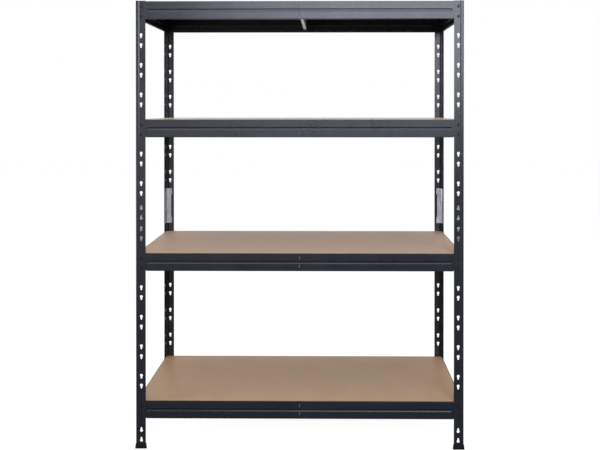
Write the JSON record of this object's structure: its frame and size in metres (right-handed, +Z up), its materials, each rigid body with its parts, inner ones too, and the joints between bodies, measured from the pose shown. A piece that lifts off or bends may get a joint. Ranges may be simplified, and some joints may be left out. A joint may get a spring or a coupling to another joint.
{
  "type": "boltless steel shelving",
  "caption": "Free-standing boltless shelf rack: dark powder-coated angle posts with keyhole slots, riveted edge beams and loose fibreboard shelves on plastic feet.",
  "frame": {"origin": "on the floor, under the middle of the rack", "axes": "+X to the right seen from the front, +Y from the front to the rear, +Z up"},
  "size_m": [1.2066, 0.5066, 1.64],
  "materials": {
    "steel_posts": "anthracite powder coat, fine orange peel, satin",
    "steel_beams": "anthracite powder coat, fine orange peel, satin",
    "steel_rivets": "anthracite powder coat over pressed steel rivets",
    "galvanised_connectors": "zinc-coated sheet with a fine spangle",
    "galvanised_tie_bars": "zinc-coated sheet with a fine spangle",
    "fibreboard": "raw medium-density fibreboard, smooth pressed face, fine fibres",
    "foot_plastic": "black moulded polypropylene, matt"
  },
  "bodies": {
    "rack": {"post_lower_front_left": "steel_posts", "post_lower_front_right": "steel_posts", "post_lower_rear_left": "steel_posts", "post_lower_rear_right": "steel_posts", "post_upper_front_left": "steel_posts", "post_upper_front_right": "steel_posts", "post_upper_rear_left": "steel_posts", "post_upper_rear_right": "steel_posts", "connector_front_left": "galvanised_connectors", "connector_front_right": "galvanised_connectors", "connector_rear_left": "galvanised_connectors", "connector_rear_right": "galvanised_connectors", "foot_front_left": "foot_plastic", "foot_front_right": "foot_plastic", "foot_rear_left": "foot_plastic", "foot_rear_right": "foot_plastic", "beam_1_front": "steel_beams", "beam_1_rear": "steel_beams", "beam_1_left": "steel_beams", "beam_1_right": "steel_beams", "beam_2_front": "steel_beams", "beam_2_rear": "steel_beams", "beam_2_left": "steel_beams", "beam_2_right": "steel_beams", "beam_3_front": "steel_beams", "beam_3_rear": "steel_beams", "beam_3_left": "steel_beams", "beam_3_right": "steel_beams", "beam_4_front": "steel_beams", "beam_4_rear": "steel_beams", "beam_4_left": "steel_beams", "beam_4_right": "steel_beams", "tie_bar_1": "galvanised_tie_bars", "tie_bar_2": "galvanised_tie_bars", "tie_bar_3": "galvanised_tie_bars", "tie_bar_4": "galvanised_tie_bars", "rivets_1": "steel_rivets", "rivets_2": "steel_rivets", "rivets_3": "steel_rivets", "rivets_4": "steel_rivets"},
    "loose_board_1": {"board_1": "fibreboard"},
    "loose_board_2": {"board_2": "fibreboard"},
    "loose_board_3": {"board_3": "fibreboard"},
    "loose_board_4": {"board_4": "fibreboard"}
  },
  "joints": [
    {"name": "board_1_lift", "type": "slide", "parent": "rack", "child": "loose_board_1", "axis": [0, 0, 1], "range_m": [0, 0.473]},
    {"name": "board_2_lift", "type": "slide", "parent": "rack", "child": "loose_board_2", "axis": [0, 0, 1], "range_m": [0, 0.422]},
    {"name": "board_3_lift", "type": "slide", "parent": "rack", "child": "loose_board_3", "axis": [0, 0, 1], "range_m": [0, 0.365]},
    {"name": "board_4_lift", "type": "slide", "parent": "rack", "child": "loose_board_4", "axis": [0, 0, 1], "range_m": [0, 0.15]}
  ]
}
